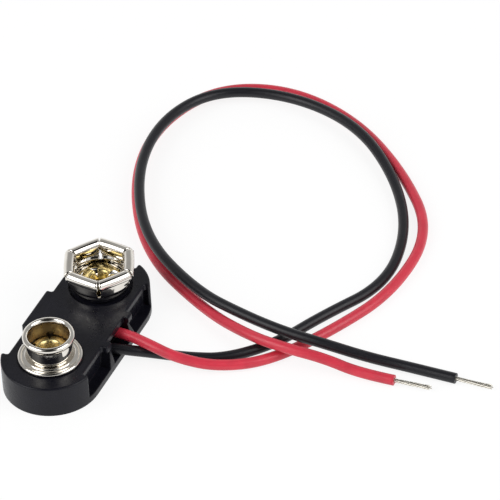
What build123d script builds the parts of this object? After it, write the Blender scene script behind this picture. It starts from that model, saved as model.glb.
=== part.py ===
from build123d import *
import math
import os

# Battery snap connector. All sizes are in millimetres.
# The origin is at the bottom middle of the housing, on the surface that it stands on.
# X runs from the round stud to the hexagonal socket, the two leads leave on the
# minus Y side, and the snaps point up.

# Snap pair
snap_pitch = 12.7

# Moulded housing
housing_width = 10.9
housing_height = 3.8
deck_thickness = 0.75
deck_inset = 0.95
deck_overhang = 0.4
side_wall = 0.8
cap_wall = 0.9
stud_cap_inset = 1.3
socket_cap_inset = 1.85
block_length = 6.35
block_shift = 0.28
block_inset = 0.23
corner_round = 0.24
edge_round = 0.2
stud_recess_depth = 0.05
stud_recess_gap = 0.09
socket_dish_radius = 3.6
socket_dish_depth = 0.35
socket_dish_ramp = 0.6

# Base plate, let into the open underside of the housing
base_thickness = 0.8
base_ledge = 0.4
base_clearance = 0.05

# Notch that lets the leads out on the minus Y side, between two leaning cheeks
notch_length = 4.3
notch_shift = 0.25
notch_depth = 0.62
cheek_foot = 1.0
cheek_head = 0.2
cheek_lean = 0.4

# Square notch in the round end beside the socket
end_notch_width = 4.7
end_notch_depth = 1.45

# Snap sheet metal
sheet = 0.22

# Round stud
stud_height = 3.37
stud_flange_radius = 3.56
stud_flange_thickness = 0.4
stud_flare_radius = 0.8
stud_neck_radius = 2.55
stud_rim_radius = 2.87
stud_rim_height = 0.95
stud_rim_round = 0.22
stud_bore_radius = 2.2

# Hexagonal socket with six spring fingers
socket_height = 3.9
socket_flats = 6.84
socket_bead = 0.22
socket_corner_radius = 3.98
socket_throat = 5.66
socket_turn = 24.2
socket_base_radius = 2.2
socket_body_radius = 3.45
socket_waist_height = 1.75
socket_shoulder_height = 2.75
socket_tongue_length = 1.15
finger_count = 6
finger_gap = 0.3
finger_slit_depth = 2.3

# Brass eyelets that clench each snap to the deck
rivet_radius = 1.25
rivet_bore_radius = 0.95
rivet_clearance = 0.05
rivet_flange_radius = 1.85
rivet_flange_thickness = 0.3
petal_radius = 1.95
petal_round = 0.2
stud_petal_height = 0.9
socket_petal_height = 1.1
petal_count = 5
stud_petal_turn = 18
socket_petal_turn = 50
petal_slot = 0.32

# Contact tags under the deck
tag_thickness = 0.3
tag_radius = 2.1
tag_width = 1.6
tag_reach = 3.9

# Leads: a stranded conductor in a round insulation
lead_diameter = 1.2
strand_diameter = 0.6
bare_length = 4.3
arc_share = 0.45

# Solder joints on the tags
solder_radius = 0.72
solder_height = 0.75
solder_round = 0.3
solder_back = 0.55

# Routes of the leads from inside the housing, out of the notch, round one loose loop
# on the surface, and across their own first stretches to the bare ends
black_route = [
    (-0.8, -2.6, 1.5),
    (-0.3, -5.6, 1.6),
    (1.4, -8.8, 0.7),
    (2.1, -12.2, 0.6),
    (3.5, -16.3, 0.6),
    (7.9, -20.5, 0.6),
    (13.6, -23.2, 0.6),
    (21.2, -27.8, 0.6),
    (30.5, -26.5, 0.6),
    (38.3, -21.8, 1.0),
    (44.9, -14.4, 1.6),
    (47.6, -4.8, 1.3),
    (45.0, 3.8, 1.5),
    (37.5, 7.1, 1.85),
    (28.0, 5.9, 1.95),
    (17.4, 0.0, 1.95),
    (10.8, -9.4, 2.35),
    (8.9, -16.2, 2.4),
    (8.0, -21.4, 2.4),
    (8.0, -26.0, 2.2),
    (8.9, -30.8, 1.0),
    (9.5, -36.0, 0.6),
    (9.6, -40.9, 0.6),
]
red_route = [
    (1.6, -2.6, 2.1),
    (1.5, -5.3, 2.25),
    (0.8, -8.2, 2.4),
    (0.5, -11.8, 1.7),
    (1.6, -16.1, 0.9),
    (4.8, -20.8, 0.6),
    (11.8, -25.2, 0.6),
    (20.3, -29.0, 0.6),
    (31.4, -29.0, 0.6),
    (40.0, -22.0, 0.6),
    (46.8, -13.2, 0.6),
    (49.3, -3.6, 0.6),
    (46.2, 4.5, 0.6),
    (37.5, 7.9, 0.6),
    (27.4, 6.2, 0.6),
    (16.2, -0.7, 0.6),
    (9.6, -11.0, 0.9),
    (6.3, -18.0, 2.1),
    (5.8, -22.8, 2.2),
    (6.3, -26.8, 1.7),
    (6.6, -30.8, 0.6),
    (6.9, -34.8, 0.6),
]

# Values that follow from the sizes above
snap_half = snap_pitch / 2
cap_radius = housing_width / 2
stud_cap_face = -snap_half - stud_cap_inset
socket_cap_face = snap_half + socket_cap_inset
end_notch_floor = snap_half + cap_radius - end_notch_depth
deck_width = housing_width - 2 * deck_inset
block_width = housing_width - 2 * block_inset
socket_step = math.sqrt(cap_radius ** 2 - socket_cap_inset ** 2) - deck_width / 2
cap_corner = math.acos(socket_cap_inset / cap_radius)
corner_room = socket_step / (1 + 1 / math.tan(cap_corner / 2))
plan_round = min(corner_round, 0.93 * corner_room)
top_round = min(edge_round, 0.85 * plan_round)
pocket_half = deck_width / 2 - deck_overhang
cavity_half = pocket_half - side_wall
cavity_radius = cap_radius - cap_wall
deck_top = housing_height
deck_underside = deck_top - deck_thickness
stud_seat = deck_top - stud_recess_depth
socket_seat = deck_top - socket_dish_depth
tag_seat = deck_underside - tag_thickness
rivet_hole_radius = rivet_radius + rivet_clearance
stud_floor = stud_seat + stud_flange_thickness
socket_floor = socket_seat + sheet
hex_corner = socket_flats / 2 / math.cos(math.pi / finger_count)
finger_angle = 360 / finger_count


def rounded_plan(plan, size):
    """The plan with its sharp corners rounded; the smooth ends of the caps stay."""
    sharp = [
        corner
        for corner in plan.vertices()
        if abs(abs(corner.X) - snap_half) > size / 2
    ]
    return fillet(sharp, size)


def stadium(width):
    """The outline of two round ends about the snap axes, joined by straight sides."""
    return SlotCenterToCenter(snap_pitch, width)


def body_plan(waist_width, block):
    """Two round caps joined by a waist, with the middle block, less the end notch."""
    middle = (stud_cap_face + socket_cap_face) / 2
    between = socket_cap_face - stud_cap_face
    caps = stadium(housing_width) - Pos(middle, 0) * Rectangle(between, 2 * housing_width)
    waist = Pos(middle, 0) * Rectangle(between + plan_round, waist_width)
    end_notch = Pos(end_notch_floor, 0) * Rectangle(
        housing_width, end_notch_width, align=(Align.MIN, Align.CENTER)
    )
    return rounded_plan(caps + waist + block - end_notch, plan_round)


def cavity_plan(ledge):
    """The hollow of the housing, wider by the ledge where the base plate sits."""
    window = Pos(end_notch_floor - cap_wall + ledge, 0) * Rectangle(
        2 * housing_width + snap_pitch, 2 * (cavity_half + ledge), align=(Align.MAX, Align.CENTER)
    )
    return stadium(2 * (cavity_radius + ledge)) & window


def cheek(inner, outward):
    """One cheek of the lead notch: upright inside, leaning outside, sloped at its end."""
    foot = base_thickness / 2
    front = Polyline(
        (inner, foot),
        (inner + outward * cheek_foot, foot),
        (inner + outward * cheek_foot, base_thickness),
        (inner + outward * cheek_head, deck_underside),
        (inner, deck_underside),
        (inner, foot),
    )
    prism = extrude(Plane.XZ * make_face(front), cap_radius)
    profile = Polyline(
        (cavity_half - cap_radius, foot),
        (-cap_radius, foot),
        (-cap_radius, base_thickness),
        (cheek_lean - cap_radius, deck_underside),
        (cavity_half - cap_radius, deck_underside),
        (cavity_half - cap_radius, foot),
    )
    return prism & extrude(Plane.YZ * make_face(profile), housing_width, both=True)


def make_housing():
    """One moulding: deck, round caps, pocketed sides, rail, hollow and notches."""
    rail = extrude(stadium(housing_width), base_thickness)
    block = Pos(block_shift, 0) * Rectangle(block_length, block_width)
    back_block = Pos(block_shift, 0) * Rectangle(
        block_length, block_width / 2, align=(Align.CENTER, Align.MIN)
    )
    walls = Pos(0, 0, base_thickness / 2) * extrude(
        body_plan(2 * pocket_half, back_block), deck_underside - base_thickness / 2
    )
    deck = Pos(0, 0, deck_underside) * extrude(body_plan(deck_width, block), deck_thickness)
    deck = fillet(deck.faces().sort_by(Axis.Z)[-1].edges(), top_round)
    body = rail + walls + deck
    for outward in (-1, 1):
        body += cheek(notch_shift + outward * notch_length / 2, outward)

    body -= Pos(0, 0, base_thickness) * extrude(
        cavity_plan(0), deck_underside - base_thickness
    )
    body -= extrude(cavity_plan(base_ledge), base_thickness)

    passage_depth = block_width / 2 + cap_radius - cavity_half
    passage = Box(
        notch_length,
        passage_depth,
        deck_underside - base_thickness,
        align=(Align.CENTER, Align.MAX, Align.MIN),
    )
    body -= Pos(notch_shift, -cavity_half + side_wall / 2, base_thickness) * passage
    opening = Box(
        notch_length,
        housing_width,
        housing_height,
        align=(Align.CENTER, Align.MAX, Align.MIN),
    )
    body -= Pos(notch_shift, notch_depth - block_width / 2, base_thickness) * opening

    for side in (-1, 1):
        body -= Pos(side * snap_half, 0, 0) * Cylinder(
            rivet_hole_radius, 2 * housing_height
        )
    stud_recess = Cylinder(
        stud_flange_radius + stud_recess_gap,
        stud_recess_depth,
        align=(Align.CENTER, Align.CENTER, Align.MIN),
    )
    body -= Pos(-snap_half, 0, stud_seat) * stud_recess
    return body - Pos(snap_half, 0, socket_seat) * make_dish()


def make_dish():
    """The shallow dish under the socket: a flat floor and a ramp that curves up to the deck."""
    flat = socket_dish_radius - socket_dish_ramp
    with BuildPart() as dish:
        with BuildSketch(Plane.XZ):
            with BuildLine():
                Line((0, 0), (flat, 0))
                ramp = TangentArc((flat, 0), (socket_dish_radius, socket_dish_depth), tangent=(1, 0))
                Line(ramp @ 1, (socket_dish_radius, 2 * socket_dish_depth))
                Line((socket_dish_radius, 2 * socket_dish_depth), (0, 2 * socket_dish_depth))
                Line((0, 2 * socket_dish_depth), (0, 0))
            make_face()
        revolve(axis=Axis.Z)
    return dish.part


def make_base_plate():
    """The flat plate that closes the underside, inside the rail."""
    return extrude(offset(cavity_plan(base_ledge), -base_clearance), base_thickness)


def make_stud():
    """The round stud: flat flange, concave flare, straight neck and rolled rim."""
    edge = stud_flange_thickness / 2
    flare_foot = stud_neck_radius + stud_flare_radius
    flare_top = stud_flange_thickness + stud_flare_radius
    rim_foot = stud_height - stud_rim_height
    rim_step = stud_rim_radius - stud_neck_radius
    with BuildPart() as stud:
        with BuildSketch(Plane.XZ):
            with BuildLine():
                Line((rivet_hole_radius, 0), (stud_flange_radius - edge, 0))
                ThreePointArc(
                    (stud_flange_radius - edge, 0),
                    (stud_flange_radius, edge),
                    (stud_flange_radius - edge, 2 * edge),
                )
                Line((stud_flange_radius - edge, 2 * edge), (flare_foot, 2 * edge))
                RadiusArc((flare_foot, 2 * edge), (stud_neck_radius, flare_top), stud_flare_radius)
                Line((stud_neck_radius, flare_top), (stud_neck_radius, rim_foot))
                Line((stud_neck_radius, rim_foot), (stud_rim_radius, rim_foot + rim_step))
                Line(
                    (stud_rim_radius, rim_foot + rim_step),
                    (stud_rim_radius, stud_height - stud_rim_round),
                )
                RadiusArc(
                    (stud_rim_radius, stud_height - stud_rim_round),
                    (stud_rim_radius - stud_rim_round, stud_height),
                    -stud_rim_round,
                )
                Line(
                    (stud_rim_radius - stud_rim_round, stud_height),
                    (stud_bore_radius + stud_rim_round, stud_height),
                )
                RadiusArc(
                    (stud_bore_radius + stud_rim_round, stud_height),
                    (stud_bore_radius, stud_height - stud_rim_round),
                    -stud_rim_round,
                )
                Line(
                    (stud_bore_radius, stud_height - stud_rim_round),
                    (stud_bore_radius, stud_flange_thickness),
                )
                Line(
                    (stud_bore_radius, stud_flange_thickness),
                    (rivet_hole_radius, stud_flange_thickness),
                )
                Line((rivet_hole_radius, stud_flange_thickness), (rivet_hole_radius, 0))
            make_face()
        revolve(axis=Axis.Z)
    return Pos(-snap_half, 0, stud_seat) * stud.part


def round_hexagon(radius, height):
    """A circle at the height, cut into six arcs that start at the hexagon's corners."""
    corners = [
        Vector(radius, 0, height).rotate(Axis.Z, finger_angle * step)
        for step in range(finger_count)
    ]
    middles = [
        Vector(radius, 0, height).rotate(Axis.Z, finger_angle * (step + 0.5))
        for step in range(finger_count)
    ]
    arcs = [
        ThreePointArc(corners[step], middles[step], corners[(step + 1) % finger_count])
        for step in range(finger_count)
    ]
    return Face(Wire(arcs))


def straight_hexagon(radius, height):
    """A hexagon at the height, with its corners on the given radius."""
    corners = [
        Vector(radius, 0, height).rotate(Axis.Z, finger_angle * step)
        for step in range(finger_count)
    ]
    return Face(Wire.make_polygon(corners, close=True))


def socket_body(inset):
    """The cup of the socket, drawn in from its outer surface by the inset."""
    slope = math.cos(math.pi / finger_count)
    foot = socket_base_radius - inset
    waist = socket_body_radius - inset
    with BuildPart() as bowl:
        with BuildSketch(Plane.XZ):
            with BuildLine():
                Line((0, inset), (foot, inset))
                bend = TangentArc((foot, inset), (waist, socket_waist_height), tangent=(1, 0.35))
                Line(bend @ 1, (0, socket_waist_height))
                Line((0, socket_waist_height), (0, inset))
            make_face()
        revolve(axis=Axis.Z)
    shoulder = loft(
        [
            round_hexagon(waist, socket_waist_height),
            straight_hexagon(hex_corner - inset / slope, socket_shoulder_height),
        ],
        ruled=True,
    )
    return bowl.part + shoulder


def finger_lip():
    """One rolled lip: up the outer flat, out and over a round bead, down into the throat."""
    panel = socket_flats / 2
    outer = panel + socket_bead
    throat = socket_throat / 2
    roll = (outer - throat) / 2
    roll_centre = socket_height - roll
    fold = roll - sheet
    tongue_end = socket_height - socket_tongue_length
    middle = (outer + throat) / 2
    crease = roll_centre - math.sqrt(roll ** 2 - (panel - middle) ** 2)
    inner_crease = roll_centre - math.sqrt(fold ** 2 - (panel - sheet - middle) ** 2)
    with BuildPart() as lip:
        with BuildSketch(Plane.XZ.offset(-socket_flats / 2)):
            with BuildLine():
                Line((panel, socket_shoulder_height - sheet), (panel, crease))
                ThreePointArc((panel, crease), (middle, socket_height), (throat, roll_centre))
                Line((throat, roll_centre), (throat, tongue_end))
                Line((throat, tongue_end), (throat + sheet, tongue_end))
                Line((throat + sheet, tongue_end), (throat + sheet, roll_centre))
                ThreePointArc(
                    (throat + sheet, roll_centre),
                    (middle, roll_centre + fold),
                    (panel - sheet, inner_crease),
                )
                Line((panel - sheet, inner_crease), (panel - sheet, socket_shoulder_height - sheet))
                Line(
                    (panel - sheet, socket_shoulder_height - sheet),
                    (panel, socket_shoulder_height - sheet),
                )
            make_face()
        extrude(amount=socket_flats)
    reach = 2 * socket_flats
    spread = reach * math.tan(math.pi / finger_count)
    wedge = extrude(
        make_face(Polyline((0, 0), (reach, spread), (reach, -spread), (0, 0))), 2 * socket_height
    )
    round_corners = Cylinder(
        socket_corner_radius, socket_height, align=(Align.CENTER, Align.CENTER, Align.MIN)
    )
    return lip.part & wedge & round_corners


def make_socket():
    """The hexagonal socket: a drawn cup whose mouth is slit into six sprung fingers."""
    cup = socket_body(0)
    hollow = socket_body(sheet)
    shell = cup - hollow
    lip = finger_lip()
    for step in range(finger_count):
        shell += Rot(0, 0, finger_angle * (step + 0.5)) * lip
    slit_end = socket_height - finger_slit_depth
    for step in range(finger_count):
        slit = Box(
            socket_flats,
            finger_gap,
            socket_height,
            align=(Align.MIN, Align.CENTER, Align.MIN),
        )
        slit_round = Rot(0, 90, 0) * Cylinder(
            finger_gap / 2, socket_flats, align=(Align.CENTER, Align.CENTER, Align.MIN)
        )
        shell -= Rot(0, 0, finger_angle * step) * Pos(sheet, 0, slit_end) * (slit + slit_round)
    shell -= Cylinder(rivet_hole_radius, 2 * socket_height)
    return Pos(snap_half, 0, socket_seat) * Rot(0, 0, socket_turn) * shell


def make_rivet(floor, petal_height, place, turn):
    """A brass eyelet: flange under the tag, tube through the deck, star of petals on top."""
    foot = tag_seat - rivet_flange_thickness
    crest = floor + petal_height
    with BuildPart() as rivet:
        with BuildSketch(Plane.XZ):
            with BuildLine():
                Line((rivet_bore_radius, foot), (rivet_flange_radius, foot))
                Line((rivet_flange_radius, foot), (rivet_flange_radius, tag_seat))
                Line((rivet_flange_radius, tag_seat), (rivet_radius, tag_seat))
                Line((rivet_radius, tag_seat), (rivet_radius, floor))
                Line((rivet_radius, floor), (petal_radius, floor))
                Line((petal_radius, floor), (petal_radius, crest - petal_round))
                RadiusArc(
                    (petal_radius, crest - petal_round),
                    (petal_radius - petal_round, crest),
                    -petal_round,
                )
                Line((petal_radius - petal_round, crest), (rivet_bore_radius + petal_round, crest))
                RadiusArc(
                    (rivet_bore_radius + petal_round, crest),
                    (rivet_bore_radius, crest - petal_round),
                    -petal_round,
                )
                Line((rivet_bore_radius, crest - petal_round), (rivet_bore_radius, foot))
            make_face()
        revolve(axis=Axis.Z)
    petals = rivet.part
    for step in range(petal_count):
        slot = Box(
            2 * petal_radius,
            petal_slot,
            2 * petal_height,
            align=(Align.MIN, Align.CENTER, Align.MIN),
        )
        petals -= Rot(0, 0, turn + step * 360 / petal_count) * Pos(0, 0, floor) * slot
    return Pos(place, 0, 0) * petals


def make_tag(side):
    """A flat contact tag: a ring round the eyelet and a tail towards the lead."""
    plan = Circle(tag_radius) + Pos(-side * tag_reach / 2, 0) * Rectangle(tag_reach, tag_width)
    plan -= Circle(rivet_hole_radius)
    return Pos(side * snap_half, 0, tag_seat) * extrude(plan, tag_thickness)


def arc_radii(points):
    """The radius at each corner of a route: its share of the shorter run beside it."""
    radii = []
    for before, corner, after in zip(points, points[1:], points[2:]):
        turn = (corner - before).get_angle(after - corner)
        shorter = min((corner - before).length, (after - corner).length)
        radii.append(arc_share * shorter / math.tan(math.radians(turn) / 2))
    return radii


def make_tube(route, diameter):
    """A round tube along straight runs that tangent arcs join."""
    points = [Vector(*point) for point in route]
    radii = arc_radii(points)
    path = FilletPolyline(*points, radius=radii)
    section = Plane(origin=path @ 0, z_dir=path % 0) * Circle(diameter / 2)
    tube = sweep(section, path=path)
    return tube, path, radii


def make_lead(route):
    """The insulation of one lead, which ends square at both ends."""
    tube, path, radii = make_tube(route, lead_diameter)
    expected = math.pi * (lead_diameter / 2) ** 2 * path.length
    print("lead length", round(path.length, 1), "volume share", round(tube.volume / expected, 4))
    print("lead radii", [round(radius, 1) for radius in radii])
    return tube


def make_bare_end(route):
    """The tinned strands that stand out of the insulation, as one round bundle."""
    last = Vector(*route[-1])
    along = (last - Vector(*route[-2])).normalized()
    return extrude(Plane(origin=last, z_dir=along) * Circle(strand_diameter / 2), bare_length)


def conductor_route(route, side):
    """The bare conductor from the end of the insulation to the underside of the tag."""
    first = Vector(*route[0])
    inward = (first - Vector(*route[1])).normalized()
    tail_end = side * (snap_half - tag_reach)
    joint = Vector(tail_end + side * solder_back, -strand_diameter / 2, tag_seat - strand_diameter / 2)
    leave = first + inward * 2 * strand_diameter
    approach = Vector(
        tail_end - side * strand_diameter, -tag_width / 2, (leave.Z + joint.Z) / 2
    )
    return [first, leave, approach, joint]


def make_conductor(route, side):
    """The stripped strands inside the housing, soldered to the tag."""
    points = [(point.X, point.Y, point.Z) for point in conductor_route(route, side)]
    tube, _, _ = make_tube(points, strand_diameter)
    return tube


def make_solder(route, side):
    """The bead of solder that joins the conductor to the tag."""
    joint = conductor_route(route, side)[-1]
    bead = Cylinder(
        solder_radius, solder_height, align=(Align.CENTER, Align.CENTER, Align.MAX)
    )
    bead = fillet(bead.edges().sort_by(Axis.Z)[0], solder_round)
    bead = Pos(joint.X, joint.Y, tag_seat) * bead
    return bead - make_conductor(route, side)


pieces = {
    "housing": make_housing(),
    "base_plate": make_base_plate(),
    "stud_terminal": make_stud(),
    "stud_rivet": make_rivet(stud_floor, stud_petal_height, -snap_half, stud_petal_turn),
    "stud_tag": make_tag(-1),
    "socket_terminal": make_socket(),
    "socket_rivet": make_rivet(socket_floor, socket_petal_height, snap_half, socket_petal_turn),
    "socket_tag": make_tag(1),
    "black_lead": make_lead(black_route),
    "red_lead": make_lead(red_route),
    "black_bare_end": make_bare_end(black_route),
    "red_bare_end": make_bare_end(red_route),
    "black_conductor": make_conductor(black_route, -1),
    "red_conductor": make_conductor(red_route, 1),
    "black_solder": make_solder(black_route, -1),
    "red_solder": make_solder(red_route, 1),
}

os.makedirs("parts", exist_ok=True)
for name, piece in pieces.items():
    export_step(piece, f"parts/{name}.step")
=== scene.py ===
"""Battery snap connector: the finishes, snaps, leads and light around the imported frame.

The housing, the base plate, the contact tags, the conductors and the solder joints keep their
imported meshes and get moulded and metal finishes. The two snaps, their brass eyelets, the leads
and the bare strands are made here as surfaces on a grid. Everything is in metres, in the frame
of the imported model: the origin is at the bottom middle of the housing, X runs from the round
stud to the hexagonal socket, the leads leave on the minus Y side, and Z points up.
"""

import logging
import math
from dataclasses import dataclass, field
from enum import Enum

import bpy
import numpy as np
from mathutils import Matrix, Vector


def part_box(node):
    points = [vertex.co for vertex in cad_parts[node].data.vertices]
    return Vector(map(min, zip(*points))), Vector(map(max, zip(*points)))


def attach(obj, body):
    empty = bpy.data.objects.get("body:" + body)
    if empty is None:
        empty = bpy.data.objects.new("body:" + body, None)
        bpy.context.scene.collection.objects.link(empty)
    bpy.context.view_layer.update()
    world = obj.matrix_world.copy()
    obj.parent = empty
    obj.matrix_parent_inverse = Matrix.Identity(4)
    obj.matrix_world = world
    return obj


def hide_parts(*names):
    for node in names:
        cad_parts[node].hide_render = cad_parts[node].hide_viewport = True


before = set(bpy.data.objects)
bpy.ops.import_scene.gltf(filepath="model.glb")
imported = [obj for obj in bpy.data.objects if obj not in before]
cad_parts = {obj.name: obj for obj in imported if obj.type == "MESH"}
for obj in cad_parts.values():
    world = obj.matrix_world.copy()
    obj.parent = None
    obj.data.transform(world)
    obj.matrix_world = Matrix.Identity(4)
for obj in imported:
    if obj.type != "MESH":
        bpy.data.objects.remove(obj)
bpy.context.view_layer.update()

log = logging.getLogger("snap_connector")

Pair = tuple[float, float]
Place = tuple[float, float, float]
Colour = tuple[float, float, float]
Socket = bpy.types.NodeSocket
Material = bpy.types.Material
Piece = bpy.types.Object

MM = 0.001
BODY = "root"
WHITE = (1.0, 1.0, 1.0, 1.0)

# Points of a route that lie closer than this, in metres, are one
SAME_PLACE = 1e-8

# The rounded end of a strand: the distance of its last rings from the end, and their widths, in
# radii of the strand. The first ring, inside the insulation, has the foot's width
TIP_PLACES = (1.0, 0.6, 0.32, 0.12, 0.0)
TIP_WIDTHS = (0.98, 0.9, 0.72, 0.45, 0.1)
FOOT_WIDTH = 0.6

# The colour sockets of a mix node, by number: the two colours that go in and the one that comes out
FIRST_COLOUR, SECOND_COLOUR, MIXED_COLOUR = 6, 7, 2

# The routes of the leads, as in the part's source, in metres
BLACK_ROUTE = [
    (-0.0008, -0.0026, 0.0015),
    (-0.0003, -0.0056, 0.0016),
    (0.0014, -0.0088, 0.0007),
    (0.0021, -0.0122, 0.0006),
    (0.0035, -0.0163, 0.0006),
    (0.0079, -0.0205, 0.0006),
    (0.0136, -0.0232, 0.0006),
    (0.0212, -0.0278, 0.0006),
    (0.0305, -0.0265, 0.0006),
    (0.0383, -0.0218, 0.0010),
    (0.0449, -0.0144, 0.0016),
    (0.0476, -0.0048, 0.0013),
    (0.0450, 0.0038, 0.0015),
    (0.0375, 0.0071, 0.00185),
    (0.0280, 0.0059, 0.00195),
    (0.0174, 0.0000, 0.00195),
    (0.0108, -0.0094, 0.00235),
    (0.0089, -0.0162, 0.0024),
    (0.0080, -0.0214, 0.0024),
    (0.0080, -0.0260, 0.0022),
    (0.0089, -0.0308, 0.0010),
    (0.0095, -0.0360, 0.0006),
    (0.0096, -0.0409, 0.0006),
]
RED_ROUTE = [
    (0.0016, -0.0026, 0.0021),
    (0.0015, -0.0053, 0.00225),
    (0.0008, -0.0082, 0.0024),
    (0.0005, -0.0118, 0.0017),
    (0.0016, -0.0161, 0.0009),
    (0.0048, -0.0208, 0.0006),
    (0.0118, -0.0252, 0.0006),
    (0.0203, -0.0290, 0.0006),
    (0.0314, -0.0290, 0.0006),
    (0.0400, -0.0220, 0.0006),
    (0.0468, -0.0132, 0.0006),
    (0.0493, -0.0036, 0.0006),
    (0.0462, 0.0045, 0.0006),
    (0.0375, 0.0079, 0.0006),
    (0.0274, 0.0062, 0.0006),
    (0.0162, -0.0007, 0.0006),
    (0.0096, -0.0110, 0.0009),
    (0.0063, -0.0180, 0.0021),
    (0.0058, -0.0228, 0.0022),
    (0.0063, -0.0268, 0.0017),
    (0.0066, -0.0308, 0.0006),
    (0.0069, -0.0348, 0.0006),
]


class Face(Enum):
    """The plating of a surface on a snap: which of its two finishes it shows."""

    OUTSIDE = 0
    INSIDE = 1


# Surfaces on a grid


def arc(centre: Pair, radius: float, start: float, end: float, steps: int) -> np.ndarray:
    """Points on a circular arc: the centre plus the radius times the cosine and the sine.

    Args:
        centre: The centre, as a radius and a height.
        radius: The radius of the arc.
        start: The first angle, in degrees.
        end: The last angle, in degrees.
        steps: The number of points.

    Returns:
        One row of radius and height for each point.
    """
    angle = np.radians(np.linspace(start, end, steps))
    return np.column_stack((centre[0] + radius * np.cos(angle), centre[1] + radius * np.sin(angle)))


def run(start: Pair, end: Pair, steps: int) -> np.ndarray:
    """Points on a straight line: the start plus an even share of the way to the end.

    Args:
        start: The first point.
        end: The last point.
        steps: The number of points.

    Returns:
        One row of radius and height for each point.
    """
    share = np.linspace(0, 1, steps)[:, None]
    return np.asarray(start) * (1 - share) + np.asarray(end) * share


def bend(start: Pair, pull: Pair, end: Pair, steps: int) -> np.ndarray:
    """Points on a soft bend: a parabola from the start to the end, pulled towards one point.

    Args:
        start: The first point.
        pull: The point where the tangents of both ends meet.
        end: The last point.
        steps: The number of points.

    Returns:
        One row of radius and height for each point.
    """
    share = np.linspace(0, 1, steps)[:, None]
    first, middle, last = (np.asarray(point) for point in (start, pull, end))
    return first * (1 - share) ** 2 + 2 * middle * share * (1 - share) + last * share ** 2


def swell(start: Pair, end: Pair, steps: int) -> np.ndarray:
    """Points on an S-shaped wall: the height rises evenly, and the radius by a smooth step.

    Args:
        start: The first point.
        end: The last point.
        steps: The number of points.

    Returns:
        One row of radius and height for each point.
    """
    share = np.linspace(0, 1, steps)
    radius = start[0] + (end[0] - start[0]) * ease(share)
    return np.column_stack((radius, start[1] + (end[1] - start[1]) * share))


def ease(value: np.ndarray) -> np.ndarray:
    """A smooth step: three squares less two cubes, held between nought and one."""
    value = np.clip(value, 0, 1)
    return value * value * (3 - 2 * value)


def grid_quads(rows: int, columns: int, closed_rows: bool, closed_columns: bool) -> np.ndarray:
    """The quads of a grid of points: each point with the next along its row and column.

    Args:
        rows: The number of rows of points.
        columns: The number of points in a row.
        closed_rows: Whether the last row joins the first.
        closed_columns: Whether the last column joins the first.

    Returns:
        One row of four point numbers for each quad.
    """
    row = np.arange(rows if closed_rows else rows - 1)[:, None]
    column = np.arange(columns if closed_columns else columns - 1)[None, :]
    below, beside = (row + 1) % rows, (column + 1) % columns
    near, far = row * columns, below * columns
    corners = (near + column, near + beside, far + beside, far + column)
    return np.stack([corner.ravel() for corner in corners], axis=1)


def weld(points: np.ndarray, faces: np.ndarray, grain: float = 1e-7) -> tuple[np.ndarray, np.ndarray]:
    """Joins points that share a place, so that neighbouring strips become one skin.

    Each point's place is rounded to whole grains, and points with the same numbers are one.

    Args:
        points: One row of X, Y and Z for each point.
        faces: One row of point numbers for each face.
        grain: The size of a grain, in metres.

    Returns:
        The points that are left, and the faces in their numbers.
    """
    cells = np.round(points / grain).astype(np.int64)
    _, first, number = np.unique(cells, axis=0, return_index=True, return_inverse=True)
    return points[first], number.ravel()[faces]


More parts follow.
